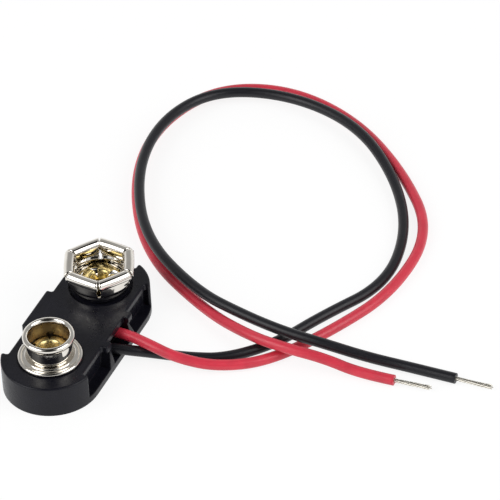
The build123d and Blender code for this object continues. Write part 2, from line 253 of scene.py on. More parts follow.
@dataclass
class Skin:
    """Points and quads that become one mesh, with the finish and the pattern place of each.

    The points and the quads are whole arrays. The pattern place of a point is its pair of grid
    parameters, in metres round and along the surface. Each corner of a quad keeps its own when
    points are welded.
    """

    points: np.ndarray
    quads: np.ndarray
    pattern: np.ndarray
    finish: np.ndarray
    corner_pattern: np.ndarray = field(init=False)

    @classmethod
    def of_grid(
        cls,
        points: np.ndarray,
        closed_rows: bool,
        closed_columns: bool,
        finish: np.ndarray | None = None,
    ) -> "Skin":
        """A skin on a grid of points, whose pattern runs on by the mean length of its steps.

        Args:
            points: The points, by row and column.
            closed_rows: Whether the last row joins the first.
            closed_columns: Whether the last column joins the first.
            finish: The finish of each row of quads, or None for one finish.

        Returns:
            The skin.
        """
        rows, columns = points.shape[:2]
        quads = grid_quads(rows, columns, closed_rows, closed_columns)
        down = np.linalg.norm(np.diff(points, axis=0), axis=2).mean(axis=1)
        across = np.linalg.norm(np.diff(points, axis=1), axis=2).mean(axis=0)
        along, around = np.append(0, np.cumsum(down)), np.append(0, np.cumsum(across))
        pattern = np.stack(np.broadcast_arrays(around[None, :], along[:, None]), axis=2)
        per_row = len(quads) // (rows if closed_rows else rows - 1)
        kinds = np.zeros(len(quads), int) if finish is None else np.repeat(finish, per_row)
        return cls(points.reshape(-1, 3), quads, pattern.reshape(-1, 2), kinds)

    @classmethod
    def joined(cls, skins: list["Skin"]) -> "Skin":
        """Several skins as one, welded where their edges share a place.

        Args:
            skins: The skins to join.

        Returns:
            The joined skin.
        """
        starts = np.cumsum([0] + [len(skin.points) for skin in skins[:-1]])
        points = np.concatenate([skin.points for skin in skins])
        quads = np.concatenate([skin.quads + start for skin, start in zip(skins, starts)])
        pattern = np.concatenate([skin.pattern for skin in skins])
        finish = np.concatenate([skin.finish for skin in skins])
        skin = cls(points, quads, pattern, finish)
        skin.points, skin.quads = weld(points, quads)
        return skin

    def __post_init__(self) -> None:
        """Keeps the pattern place of each corner of each quad."""
        self.corner_pattern = self.pattern[self.quads]

    def build(self, name: str, finishes: list[Material], smooth_angle: float) -> Piece:
        """Makes the mesh and its object, shaded smooth up to an angle.

        Args:
            name: The name of the object.
            finishes: The materials, in the order of the finish numbers.
            smooth_angle: The angle between two faces, in degrees, up to which their edge is smooth.

        Returns:
            The new object.
        """
        mesh = bpy.data.meshes.new(name)
        mesh.from_pydata(self.points.tolist(), [], self.quads.tolist())
        mesh.uv_layers.new(name="pattern")
        mesh.uv_layers["pattern"].data.foreach_set("uv", self.corner_pattern.astype(np.float32).ravel())
        for finish in finishes:
            mesh.materials.append(finish)
        mesh.polygons.foreach_set("material_index", self.finish.astype(np.int32))
        mesh.polygons.foreach_set("use_smooth", np.ones(len(self.quads), bool))
        mesh.set_sharp_from_angle(angle=math.radians(smooth_angle))
        mesh.validate()
        mesh.update()
        piece = bpy.data.objects.new(name, mesh)
        bpy.context.scene.collection.objects.link(piece)
        return piece


def turned(profile: np.ndarray, columns: int) -> np.ndarray:
    """A turned surface: each profile point's radius goes round the axis, at its own height.

    Args:
        profile: One row of radius and height for each point.
        columns: The number of points in a turn.

    Returns:
        The points of the surface, by profile point and by turn.
    """
    turn = np.linspace(0, 2 * math.pi, columns, endpoint=False)[None, :]
    radius, height = profile[:, 0][:, None], profile[:, 1][:, None]
    return np.stack(np.broadcast_arrays(radius * np.cos(turn), radius * np.sin(turn), height), axis=2)


def slit_fingers(
    profile: np.ndarray,
    square: np.ndarray,
    half_gap: np.ndarray,
    count: int,
    first_slit: float,
    columns: int,
) -> Skin:
    """A sheet drawn round an axis and slit into fingers from its mouth.

    Each finger is a grid of its profile by its angle. The angle runs from slit to slit, less the
    angle that half a gap takes up at that radius. The radius is the profile's own where the sheet
    is round, and the profile's over the cosine of the angle where it is flat, mixed by the
    squareness. Fingers share their edge where the gap is nought.

    Args:
        profile: The distance of the sheet from the axis at a finger's middle, and its height.
        square: How flat each profile point's finger is, from nought for round to one for flat.
        half_gap: Half the width of the slit at each profile point.
        count: The number of fingers.
        first_slit: The angle of one slit about the axis, in degrees.
        columns: The number of points across a finger.

    Returns:
        The skin of all the fingers.
    """
    half_turn = math.pi / count
    share = np.linspace(-1, 1, columns)[None, :]
    middle, flat = profile[:, 0][:, None], square[:, None]
    corner = middle * (1 - flat + flat / math.cos(half_turn))
    reach = half_turn - np.arcsin(half_gap[:, None] / corner)
    angle = share * reach
    radius = middle * (1 - flat + flat / np.cos(angle))
    height = np.broadcast_to(profile[:, 1][:, None], radius.shape)
    fingers = []
    for step in range(count):
        turn = angle + math.radians(first_slit) + (2 * step + 1) * half_turn
        points = np.stack((radius * np.cos(turn), radius * np.sin(turn), height), axis=2)
        fingers.append(Skin.of_grid(points, False, False))
    return Skin.joined(fingers)


def carried(path: np.ndarray, stations: np.ndarray, radii: np.ndarray, columns: int) -> np.ndarray:
    """A round section carried along a path: a circle square to the path at each station.

    The circle's sideways direction is square to the path and level, and its other direction is
    square to both, so the section doesn't twist. The path never stands upright.

    Args:
        path: The points of the path.
        stations: The distance along the path of each circle.
        radii: The radius of each circle.
        columns: The number of points round a circle.

    Returns:
        The points of the surface, by station and round the circle.
    """
    centres, along = path_at(path, stations)
    side = np.cross(along, (0, 0, 1))
    side /= np.linalg.norm(side, axis=1)[:, None]
    rise = np.cross(side, along)
    turn = np.linspace(0, 2 * math.pi, columns, endpoint=False)[None, :, None]
    ring = np.cos(turn) * side[:, None, :] + np.sin(turn) * rise[:, None, :]
    return centres[:, None, :] + radii[:, None, None] * ring


def marks_along(path: np.ndarray) -> np.ndarray:
    """How far along a path each of its points is: the sum of the steps up to the point.

    Args:
        path: The points of the path.

    Returns:
        The distances, from nought to the length of the path.
    """
    return np.append(0, np.cumsum(np.linalg.norm(np.diff(path, axis=0), axis=1)))


def path_at(path: np.ndarray, stations: np.ndarray) -> tuple[np.ndarray, np.ndarray]:
    """The place and the direction of a path at distances along it.

    Both are read in straight lines between the values at the path's own points.

    Args:
        path: The points of the path.
        stations: The distances.

    Returns:
        The places, and the directions, each of length one.
    """
    marks = marks_along(path)
    slopes = np.gradient(path, marks, axis=0)
    place = np.stack([np.interp(stations, marks, path[:, axis]) for axis in range(3)], axis=1)
    along = np.stack([np.interp(stations, marks, slopes[:, axis]) for axis in range(3)], axis=1)
    return place, along / np.linalg.norm(along, axis=1)[:, None]


def close_ends(skin: Skin, rows: int, columns: int) -> Skin:
    """Closes the first and last ring of a tube with a row of quads across each.

    Args:
        skin: The tube, by station and round the ring.
        rows: The number of rings.
        columns: The number of points in a ring.

    Returns:
        The tube with its ends closed.
    """
    ring = np.arange(columns // 2)
    first = np.stack((ring[:-1], ring[1:], columns - 1 - ring[1:], columns - 1 - ring[:-1]), axis=1)
    last = (rows - 1) * columns + first[:, ::-1]
    quads = np.concatenate((skin.quads, first[:, ::-1], last[:, ::-1]))
    extra = np.zeros(2 * len(first), int)
    return Skin(skin.points, quads, skin.pattern, np.concatenate((skin.finish, extra)))


# Finishes


class Bench:
    """A tree of shader nodes in the making: adds nodes, links them and mixes what they give."""

    def __init__(self, tree: bpy.types.NodeTree) -> None:
        """Keeps the tree that it works on."""
        self.tree = tree

    def add(self, kind: str, **settings: object) -> bpy.types.Node:
        """Adds a node and sets its properties, or its inputs where they are named so.

        Args:
            kind: The type of the node, without its ShaderNode prefix.
            **settings: Properties of the node, or values of its inputs.

        Returns:
            The node.
        """
        node = self.tree.nodes.new("ShaderNode" + kind)
        for key, value in settings.items():
            label = key.replace("_", " ").title()
            if label in node.inputs:
                node.inputs[label].default_value = value
            else:
                setattr(node, key, value)
        return node

    def link(self, source: Socket, target: Socket) -> None:
        """Links an output to an input."""
        self.tree.links.new(source, target)

    def spread(self, source: Socket, low: float, high: float, span: Pair = (0.3, 0.7)) -> Socket:
        """Maps a pattern to a range of values, in a straight line over a span of the pattern.

        Args:
            source: The pattern.
            low: The value at the start of the span and before it.
            high: The value at the end of the span and after it.
            span: The pattern's own values at the start and the end.

        Returns:
            The mapped output.
        """
        start, end = span
        node = self.add("MapRange", from_min=start, from_max=end, to_min=low, to_max=high)
        self.link(source, node.inputs["Value"])
        return node.outputs["Result"]

    def combine(self, operation: str, first: Socket, second: Socket) -> Socket:
        """Combines two outputs by one operation, such as their product or the larger of them.

        Args:
            operation: The name of the operation.
            first: The first output.
            second: The second output.

        Returns:
            The result.
        """
        node = self.add("Math", operation=operation)
        self.link(first, node.inputs[0])
        self.link(second, node.inputs[1])
        return node.outputs[0]

    def cover(self, share: Socket, under: Socket, over: Socket, output: str) -> None:
        """Covers one shader with another by a share, and gives the mix to an output.

        Args:
            share: How much of the second shader shows.
            under: The first shader.
            over: The second shader.
            output: The name of the output node.
        """
        mix = self.add("MixShader")
        for source, target in zip((share, under, over), mix.inputs):
            self.link(source, target)
        self.link(mix.outputs[0], self.tree.nodes[output].inputs["Surface"])


class Desk(Bench):
    """A material in the making: patterns that colour, roughen and emboss one surface."""

    def __init__(self, name: str) -> None:
        """Starts a material with a surface shader and an output.

        Args:
            name: The name of the material.
        """
        self.material = bpy.data.materials.new(name)
        self.material.use_nodes = True
        super().__init__(self.material.node_tree)
        self.shader = self.tree.nodes["Principled BSDF"]

    def set(self, **values: object) -> None:
        """Sets inputs of the surface shader by their names."""
        for key, value in values.items():
            self.shader.inputs[key.replace("_", " ")].default_value = value

    def noise(self, place: Socket, grain: float, detail: float = 3, rough: float = 0.6) -> Socket:
        """Adds a noise with grains of a given size.

        Args:
            place: Where the pattern is read, in metres.
            grain: The size of a grain, in metres.
            detail: How many finer layers it has.
            rough: How strong the finer layers are.

        Returns:
            The output that runs from nought to one.
        """
        node = self.add("TexNoise", scale=1 / grain, detail=detail, roughness=rough)
        self.link(place, node.inputs["Vector"])
        return node.outputs["Fac"]

    def stretch(self, place: Socket, scale: Place) -> Socket:
        """Scales the place of a pattern along each axis.

        Args:
            place: Where the pattern is read.
            scale: The scale along each axis. A scale under one draws the pattern out.

        Returns:
            The scaled place.
        """
        node = self.add("Mapping", scale=scale)
        self.link(place, node.inputs["Vector"])
        return node.outputs["Vector"]

    def tint(self, source: Socket, first: Colour, second: Colour) -> None:
        """Colours the surface between two colours by a pattern.

        Args:
            source: The pattern.
            first: The colour where the pattern is nought.
            second: The colour where the pattern is one.
        """
        node = self.add("Mix", data_type="RGBA")
        node.inputs[FIRST_COLOUR].default_value = (*first, 1)
        node.inputs[SECOND_COLOUR].default_value = (*second, 1)
        self.link(source, node.inputs[0])
        self.link(node.outputs[MIXED_COLOUR], self.shader.inputs["Base Color"])

    def mottle(self, source: Socket, colour: Colour, share: float) -> None:
        """Colours the surface by a pattern, from a share darker to a share lighter.

        Args:
            source: The pattern.
            colour: The colour in the middle.
            share: How much darker and lighter it gets.
        """
        darker = tuple(part * (1 - share) for part in colour)
        lighter = tuple(part * (1 + share) for part in colour)
        self.tint(self.spread(source, 0, 1), darker, lighter)

    def roughen(self, source: Socket, low: float, high: float) -> None:
        """Roughens the surface between two levels by a pattern."""
        self.link(self.spread(source, low, high), self.shader.inputs["Roughness"])

    def emboss(self, layers: list[tuple[Socket, float]], edge: float = 0) -> None:
        """Gives the surface relief from patterns, each with its depth, and soft edges.

        Args:
            layers: Each pattern and its depth in metres.
            edge: The radius of the soft edges in metres, or nought for none.
        """
        normal = None
        if edge:
            normal = self.add("Bevel", samples=6, radius=edge).outputs["Normal"]
        for source, depth in layers:
            bump = self.add("Bump", distance=depth, strength=1)
            self.link(source, bump.inputs["Height"])
            if normal:
                self.link(normal, bump.inputs["Normal"])
            normal = bump.outputs["Normal"]
        self.link(normal, self.shader.inputs["Normal"])


@dataclass(frozen=True)
class MouldedPlastic:
    """A moulded plastic: a fine eroded grain, faint mottling and softly rounded edges."""

    name: str
    colour: Colour
    roughness: float
    duller: float = 0.08
    glossier: float = 0.06
    mottling: float = 0.22
    cloud: float = 1.6 * MM
    cloud_depth: float = 0.01 * MM
    sheen: float = 0.5 * MM
    grain: float = 0.13 * MM
    grain_depth: float = 0.004 * MM
    edge: float = 0.17 * MM
    refraction: float = 1.32

    def build(self) -> Material:
        """Makes the material, mottled by a cloud, with a patchy sheen and an embossed grain.

        Returns:
            The material.
        """
        desk = Desk(self.name)
        place = desk.add("TexCoord").outputs["Object"]
        cloud = desk.noise(place, self.cloud, detail=4)
        desk.mottle(cloud, self.colour, self.mottling)
        sheen = desk.noise(place, self.sheen)
        desk.roughen(sheen, self.roughness - self.glossier, self.roughness + self.duller)
        grain = desk.noise(place, self.grain)
        desk.emboss([(grain, self.grain_depth), (cloud, self.cloud_depth)], self.edge)
        desk.set(IOR=self.refraction)
        return desk.material


@dataclass(frozen=True)
class PlatedMetal:
    """A bright drawn metal: soft waves from the press, faint rubbing and fine scratches."""

    name: str
    colour: Colour
    shade: Colour
    roughness: float
    duller: float = 1.7
    glossier: float = 0.6
    cloud: float = 1.1 * MM
    waves: float = 0.0009 * MM
    rubbing: float = 0.35 * MM
    scratch_width: float = 0.25 * MM
    scratch_stretch: Place = (1, 1, 9)
    scratches: float = 0.0002 * MM

    def build(self) -> Material:
        """Makes the material, shaded and waved by a cloud, rubbed in patches and scratched round.

        Returns:
            The material.
        """
        desk = Desk(self.name)
        place = desk.add("TexCoord").outputs["Object"]
        cloud = desk.noise(place, self.cloud, rough=0.5)
        desk.tint(desk.spread(cloud, 0, 1), self.shade, self.colour)
        rubbing = desk.noise(place, self.rubbing, detail=4, rough=0.65)
        desk.roughen(rubbing, self.roughness * self.glossier, self.roughness * self.duller)
        fine = desk.noise(desk.stretch(place, self.scratch_stretch), self.scratch_width, rough=0.7)
        desk.emboss([(cloud, self.waves), (fine, self.scratches)])
        desk.set(Metallic=1)
        return desk.material


@dataclass(frozen=True)
class Insulation:
    """A soft extruded insulation: long faint streaks, tiny pits and a half gloss."""

    name: str
    colour: Colour
    roughness: float
    duller: float = 0.09
    glossier: float = 0.05
    mottling: float = 0.1
    cloud: float = 2.4 * MM
    cloud_depth: float = 0.03 * MM
    streak_width: float = 0.3 * MM
    streak_stretch: Place = (1, 0.08, 1)
    streak_depth: float = 0.004 * MM
    pit: float = 0.11 * MM
    pit_depth: float = 0.0016 * MM
    refraction: float = 1.5

    def build(self) -> Material:
        """Makes the material, with its streaks drawn out along the lead.

        Returns:
            The material.
        """
        desk = Desk(self.name)
        drawn = desk.stretch(desk.add("UVMap", uv_map="pattern").outputs["UV"], self.streak_stretch)
        streaks = desk.noise(drawn, self.streak_width)
        place = desk.add("TexCoord").outputs["Object"]
        cloud = desk.noise(place, self.cloud)
        desk.mottle(cloud, self.colour, self.mottling)
        desk.roughen(streaks, self.roughness - self.glossier, self.roughness + self.duller)
        pits = desk.noise(place, self.pit, detail=2, rough=0.5)
        desk.emboss([(streaks, self.streak_depth), (pits, self.pit_depth), (cloud, self.cloud_depth)])
        desk.set(IOR=self.refraction)
        return desk.material


@dataclass(frozen=True)
class TinnedWire:
    """Fine tinned wires: bright tin, with the copper under it showing here and there."""

    name: str
    tin: Colour
    copper: Colour
    roughness: float
    duller: float = 0.15
    patch: float = 0.22 * MM
    bare: Pair = (0.66, 0.78)
    grain: float = 0.05 * MM
    grain_depth: float = 0.0015 * MM

    def build(self) -> Material:
        """Makes the material, whose copper shows where the patches are strongest.

        Returns:
            The material.
        """
        desk = Desk(self.name)
        place = desk.add("TexCoord").outputs["Object"]
        patches = desk.noise(place, self.patch)
        desk.tint(desk.spread(patches, 0, 1, self.bare), self.tin, self.copper)
        desk.roughen(patches, self.roughness, self.roughness + self.duller)
        desk.emboss([(desk.noise(place, self.grain, detail=2, rough=0.5), self.grain_depth)])
        desk.set(Metallic=1)
        return desk.material


def made(finish: MouldedPlastic | PlatedMetal | Insulation | TinnedWire) -> Material:
    """A field that holds the material of one finish."""
    return field(default_factory=finish.build)


@dataclass
class Finishes:
    """Every finish of the connector, made once."""

    housing: Material = made(MouldedPlastic("charcoal moulding", (0.0075, 0.0075, 0.0125), 0.30))
    plate: Material = made(MouldedPlastic("charcoal plate", (0.015, 0.015, 0.018), 0.52, grain=0.12 * MM))
    nickel: Material = made(PlatedMetal("nickel plate", (0.84, 0.81, 0.75), (0.76, 0.72, 0.66), 0.055))
    brass: Material = made(PlatedMetal("brass", (0.84, 0.69, 0.33), (0.66, 0.52, 0.22), 0.24))
    lining: Material = made(PlatedMetal("bronze lining", (0.46, 0.37, 0.26), (0.34, 0.27, 0.19), 0.34))
    tag: Material = made(PlatedMetal("tinned strip", (0.68, 0.66, 0.62), (0.55, 0.53, 0.50), 0.3))
    black: Material = made(Insulation("black insulation", (0.013, 0.013, 0.017), 0.34, refraction=1.40))
    red: Material = made(Insulation("red insulation", (0.74, 0.044, 0.077), 0.34))
    wire: Material = made(TinnedWire("tinned strands", (0.76, 0.73, 0.66), (0.55, 0.34, 0.21), 0.16))
    solder: Material = made(PlatedMetal("solder", (0.70, 0.70, 0.69), (0.58, 0.58, 0.57), 0.24))


# The pieces


def settle(piece: Piece, slot: str, *nodes: str) -> Piece:
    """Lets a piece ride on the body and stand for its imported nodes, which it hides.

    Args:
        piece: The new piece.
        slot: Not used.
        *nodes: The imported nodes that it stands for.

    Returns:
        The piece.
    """
    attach(piece, BODY)
    if nodes:
        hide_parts(*nodes)
    log.info("made %s", piece.name)
    return piece


def node_seat(node: str) -> tuple[np.ndarray, float]:
    """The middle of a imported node's underside, and the node's height.

    Args:
        node: The name of the node.

    Returns:
        The place, and the height.
    """
    low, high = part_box(node)
    middle = np.array(((low.x + high.x) / 2, (low.y + high.y) / 2, low.z))
    return middle, high.z - low.z


def give_sheet(piece: Piece, thickness: float) -> None:
    """Gives a piece the even thickness of its sheet, inwards from its faces.

    Args:
        piece: The piece, which is one layer of faces.
        thickness: The thickness of the sheet.
    """
    wall = piece.modifiers.new("sheet", "SOLIDIFY")
    wall.thickness = thickness
    wall.offset = -1
    wall.use_even_offset = True


@dataclass
class Housing:
    """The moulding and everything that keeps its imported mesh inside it."""

    finishes: Finishes

    def build(self) -> None:
        """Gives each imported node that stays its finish."""
        dress = {
            "housing": self.finishes.housing,
            "base_plate": self.finishes.plate,
            "stud_tag": self.finishes.tag,
            "socket_tag": self.finishes.tag,
            "black_conductor": self.finishes.wire,
            "red_conductor": self.finishes.wire,
            "black_solder": self.finishes.solder,
            "red_solder": self.finishes.solder,
        }
        for node, finish in dress.items():
            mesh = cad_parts[node].data
            mesh.materials.clear()
            mesh.materials.append(finish)
            log.info("dressed %s", node)


@dataclass
class RoundStud:
    """The round snap: a beaded flange, a concave flare, a neck and a rolled rim.

    A pull, here and in the socket, is where the tangents of the two ends of a bend meet. Below
    the rim, a pair is the distance inside the rim and the height over the rim's foot.
    """

    finishes: Finishes
    hole: float = 1.3 * MM
    flange_radius: float = 3.56 * MM
    bead: float = 0.25 * MM
    bead_end: float = 130
    crease: float = 3.06 * MM
    crease_height: float = 0.27 * MM
    foot_radius: float = 2.61 * MM
    foot_height: float = 0.55 * MM
    foot_lean: float = 0.02 * MM
    neck_radius: float = 2.55 * MM
    neck_gap: float = 0.1 * MM
    rim_radius: float = 2.87 * MM
    rim_height: float = 0.95 * MM
    underside_pull: float = 0.2 * MM
    underside_end: Pair = (0.06 * MM, 0.34 * MM)
    bulge_start: Pair = (0.04 * MM, 0.37 * MM)
    bulge_pull: float = 0.5 * MM
    bore_radius: float = 2.2 * MM
    bore_pull: float = 0.12 * MM
    lining_depth: float = 0.42 * MM
    lining_gap: float = 0.03 * MM
    lining_step: float = 0.02 * MM
    lining_pull: Pair = (0.05 * MM, 1.2 * MM)
    floor: float = 0.4 * MM
    floor_round: float = 0.2 * MM
    floor_rise: float = 0.25 * MM
    floor_edge: float = 0.4 * MM
    columns: int = 160

    def profile(self, height: float) -> tuple[np.ndarray, np.ndarray]:
        """The closed section of the stud, and the finish of each of its runs.

        From the hole in the underside it goes out to the beaded flange, in to a crease, up the
        flare, which is a parabola that ends almost upright, up the neck, and out in two bends
        under the rim. A quarter of a circle takes it over the rim's outer half, and a soft bend
        down into the bore, to the lining, the floor and the hole.

        Args:
            height: The height of the stud.

        Returns:
            The points of the section, and the finish of the run after each point.
        """
        rim_foot = height - self.rim_height
        edge = self.flange_radius - self.bead
        round_rim = (self.rim_radius - self.bore_radius) / 2
        rim_centre = (self.bore_radius + round_rim, height - round_rim)
        foot = (self.foot_radius, self.foot_height)

        def below_rim(inset: float, rise: float) -> Pair:
            """A point by its distance inside the rim and its height over the rim's foot."""
            return self.rim_radius - inset, rim_foot + rise

        outside = [
            run((self.hole, 0), (edge, 0), 6)[:-1],
            arc((edge, self.bead), self.bead, -90, self.bead_end, 12),
            bend(
                (self.crease, self.crease_height),
                (self.foot_radius + self.foot_lean, self.crease_height),
                foot,
                18,
            ),
            run(foot, (self.neck_radius, rim_foot - self.neck_gap), 8)[1:],
            bend(
                (self.neck_radius, rim_foot),
                (self.neck_radius, rim_foot + self.underside_pull),
                below_rim(*self.underside_end),
                8,
            ),
            bend(
                below_rim(*self.bulge_start),
                (self.rim_radius, rim_foot + self.bulge_pull),
                (self.rim_radius, rim_centre[1]),
                6,
            )[:-1],
            arc(rim_centre, round_rim, 0, 90, 20),
            bend(
                (rim_centre[0], height),
                (self.bore_radius + self.bore_pull, height),
                (self.bore_radius, height - self.lining_depth),
                16,
            )[1:],
        ]
        wall = self.bore_radius + self.lining_step
        inside = [
            bend(
                (wall, height - self.lining_depth - self.lining_gap),
                (self.bore_radius + self.lining_pull[0], self.floor + self.lining_pull[1]),
                (wall, self.floor + self.floor_rise),
                12,
            ),
            arc((wall - self.floor_round, self.floor + self.floor_round), self.floor_round, 0, -90, 7),
            run((self.bore_radius - self.floor_edge, self.floor), (self.hole, self.floor), 6),
        ]
        first, second = np.concatenate(outside), np.concatenate(inside)
        kinds = np.full(len(first) + len(second), Face.INSIDE.value)
        kinds[: len(first) - 1] = Face.OUTSIDE.value
        kinds[-1] = Face.OUTSIDE.value
        return np.concatenate((first, second)), kinds

    def build(self) -> Piece:
        """Turns the section about the stud's axis and settles the piece.

        Returns:
            The piece.
        """
        seat, height = node_seat("stud_terminal")
        profile, kinds = self.profile(height)
        points = turned(profile, self.columns) + seat
        skin = Skin.of_grid(points[:, ::-1], True, True, kinds)
        piece = skin.build("stud_shell", [self.finishes.nickel, self.finishes.lining], smooth_angle=50)
        return settle(piece, "nickel", "stud_terminal")


@dataclass
class SpringSocket:
    """The hexagonal snap: a drawn cup whose mouth is slit into six beaded spring fingers."""

    finishes: Finishes
    sheet: float = 0.2 * MM
    fall: float = 0.21 * MM
    hole: float = 1.3 * MM
    base_radius: float = 1.5 * MM
    bowl_radius: float = 3.14 * MM
    bowl_height: float = 1.25 * MM
    bowl_pull: float = 0.12 * MM
    waist_radius: float = 3.45 * MM
    waist_height: float = 1.95 * MM
    shoulder_height: float = 2.75 * MM
    flat: float = 3.42 * MM
    bead_reach: float = 3.68 * MM
    bead_start: float = 12
    throat: float = 2.86 * MM
    tongue: float = 1.42 * MM
    tongue_start: float = 0.02 * MM
    tongue_pull: float = 0.6
    tongue_swell: float = 0.18 * MM
    fingers: int = 6
    gap: float = 0.34 * MM
    lip_gap: float = 0.14 * MM
    lip_flatness: float = 0.86
    lip_closing: float = 4
    lip_opening: float = 3.2
    slit_depth: float = 2.1 * MM
    first_slit: float = 24.2
    columns: int = 21

    def profile(self, height: float) -> tuple[np.ndarray, np.ndarray, np.ndarray]:
        """The outer line of the sheet, its flatness and half the slit's width along it.

        The line goes out along the bottom, up a soft bend and an S-shaped swell to the round
        waist, in over the shoulder to a flat wall, round the bead, and down the tongue inside,
        which swells outwards at its end. The slit ends in a half circle of its own width, is
        narrower along the bead, and opens again towards the tongue's end.

        Args:
            height: The height of the socket.

        Returns:
            The line as distance from the axis and height, the flatness and the half gap.
        """
        bead = (self.bead_reach - self.throat) / 2
        centre = (self.throat + bead, height - bead)
        foot_angle = -math.degrees(math.acos((self.flat - centre[0]) / bead))
        bead_foot = centre[1] + bead * math.sin(math.radians(foot_angle))
        bowl_top, waist = (self.bowl_radius, self.bowl_height), (self.waist_radius, self.waist_height)
        bottom = run((self.hole, 0), (self.base_radius, 0), 6)[:-1]
        bowl = bend((self.base_radius, 0), (self.bowl_radius, self.bowl_pull), bowl_top, 30)
        belly = swell(bowl_top, waist, 12)[1:]
        shoulder = swell(waist, (self.flat, self.shoulder_height), 22)[1:]
        wall = run((self.flat, self.shoulder_height), (self.flat, bead_foot), 6)[1:]
        round_lip = arc(centre, bead, foot_angle + self.bead_start, 180, 24)
        tongue = bend(
            (self.throat, centre[1] - self.tongue_start),
            (self.throat, height - self.tongue * self.tongue_pull),
            (self.throat + self.tongue_swell, height - self.tongue),
            12,
        )
        line = np.concatenate((bottom, bowl, belly, shoulder, wall, round_lip, tongue))
        round_part, lip = len(bottom) + len(bowl) + len(belly), len(round_lip) + len(tongue)
        square = np.full(len(line), self.lip_flatness)
        square[:round_part] = 0
        square[round_part:][: len(shoulder)] *= ease(np.linspace(0, 1, len(shoulder) + 1)[1:])
        half = self.gap / 2
        into = np.clip((line[:, 1] - height + self.slit_depth + half) / half, 0, 1)
        half_gap = half * np.sqrt(1 - (1 - into) ** 2)
        closing = ease(np.linspace(0, self.lip_closing, lip)) * ease(np.linspace(self.lip_opening, 0, lip))
        half_gap[-lip:] = half + (self.lip_gap / 2 - half) * closing
        return line, square, half_gap

    def build(self) -> Piece:
        """Makes the sheet, gives it its thickness and settles the piece.

        Returns:
            The piece.
        """
        seat, height = node_seat("socket_terminal")
        seat[0], seat[1] = node_seat("socket_rivet")[0][:2]
        line, square, half_gap = self.profile(height - self.fall)
        skin = slit_fingers(line, square, half_gap, self.fingers, self.first_slit, self.columns)
        skin.points = skin.points + seat
        skin.quads = skin.quads[:, ::-1]
        skin.corner_pattern = skin.corner_pattern[:, ::-1]
        piece = skin.build("spring_socket", [self.finishes.nickel], smooth_angle=50)
        give_sheet(piece, self.sheet)
        return settle(piece, "nickel", "socket_terminal")


@dataclass
class Eyelet:
    """A brass eyelet: a flange under the tag, a tube whose mouth widens, and clenched petals."""

    finishes: Finishes
    name: str
    node: str
    first_slit: float
    petal_rise: float
    sheet: float = 0.22 * MM
    flange_radius: float = 1.85 * MM
    underside: float = 0.02 * MM
    foot_round: float = 0.1 * MM
    tube_radius: float = 1.06 * MM
    tube_foot: float = 0.2 * MM
    slot_step: float = 0.02 * MM
    crest_radius: float = 1.3 * MM
    crest_round: float = 0.12 * MM
    crest_lift: float = -0.04 * MM
    funnel: float = 0.8 * MM
    petal_radius: float = 2.1 * MM
    petal_drop: float = 0.17 * MM
    fork_foot: float = 0.03 * MM
    fork: float = 0.28 * MM
    petals: int = 5
    columns: int = 25

    def profile(self, height: float) -> tuple[np.ndarray, np.ndarray]:
        """The line of the sheet from the flange to the petals' tips, and half the slots' width.

        The line goes in along the underside of the flange, round a quarter of a circle and up the
        tube. There the petals begin: the mouth widens in a parabola to a crest, and a flatter one
        takes each petal out and down to its tip. The slots widen evenly from their foot to the
        crest, and from the crest to the tips.

        Args:
            height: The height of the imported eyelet.

        Returns:
            The line as distance from the axis and height, and the half gap.
        """
        floor, crest = height - self.petal_rise, height + self.crest_lift
        bore = self.tube_radius - self.sheet
        corner = bore + self.foot_round
        whole = np.concatenate(
            (
                run((self.flange_radius - self.sheet, self.underside), (corner, self.underside), 6)[:-1],
                arc((corner, self.underside + self.foot_round), self.foot_round, 270, 180, 6),
                run((bore, self.tube_foot), (bore, floor), 10),
            )
        )
        top, tip = (self.crest_radius, crest), (self.petal_radius, crest - self.petal_drop)
        shoulder = crest - self.funnel
        petal = np.concatenate(
            (
                run((bore, floor + self.slot_step), (bore, shoulder), 6)[:-1],
                bend((bore, shoulder), (self.crest_radius - self.crest_round, crest), top, 14),
                bend(top, ((self.crest_radius + self.petal_radius) / 2, crest), tip, 16)[1:],
            )
        )
        outward = np.clip((petal[:, 0] - self.crest_radius) / (self.petal_radius - self.crest_radius), 0, 1)
        upward = np.clip((petal[:, 1] - shoulder) / (crest - shoulder), 0, 1)
        slot = np.where(
            outward > 0,
            self.fork_foot + (self.fork - self.fork_foot) * outward,
            self.fork_foot * upward,
        )
        return np.concatenate((whole, petal)), np.append(np.zeros(len(whole)), slot)

    def build(self) -> Piece:
        """Makes the sheet, gives it its thickness and settles the piece.

        Returns:
            The piece.
        """
        seat, height = node_seat(self.node)
        line, half_gap = self.profile(height)
        skin = slit_fingers(line, np.zeros(len(line)), half_gap, self.petals, self.first_slit, self.columns)
        skin.points = skin.points + seat
        piece = skin.build(self.name, [self.finishes.brass], smooth_angle=60)
        give_sheet(piece, self.sheet)
        return settle(piece, "brass", self.node)


